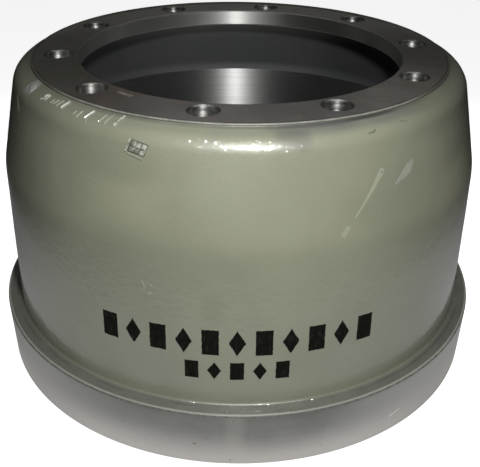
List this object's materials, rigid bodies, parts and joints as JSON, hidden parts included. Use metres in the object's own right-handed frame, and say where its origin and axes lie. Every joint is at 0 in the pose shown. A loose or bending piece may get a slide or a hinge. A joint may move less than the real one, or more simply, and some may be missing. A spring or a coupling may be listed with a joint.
{
  "type": "brake drum",
  "caption": "Bell-shaped cast brake drum for a heavy axle, with a turned braking track inside, a stiffening band round the open end and a pilot-bored bolting flange.",
  "frame": {"origin": "centre of the open end's plane, on the axle line", "axes": "+Z along the axle line from the open end to the mounting flange, -Y through one of the stud holes"},
  "size_m": [0.4828, 0.4828, 0.29],
  "materials": {
    "casting": "semi-gloss grey-olive paint on the cast outside, bare turned metal on the flange face, pilot bore, braking track and rim band"
  },
  "bodies": {
    "root": {"brake_drum": "casting"}
  },
  "joints": []
}
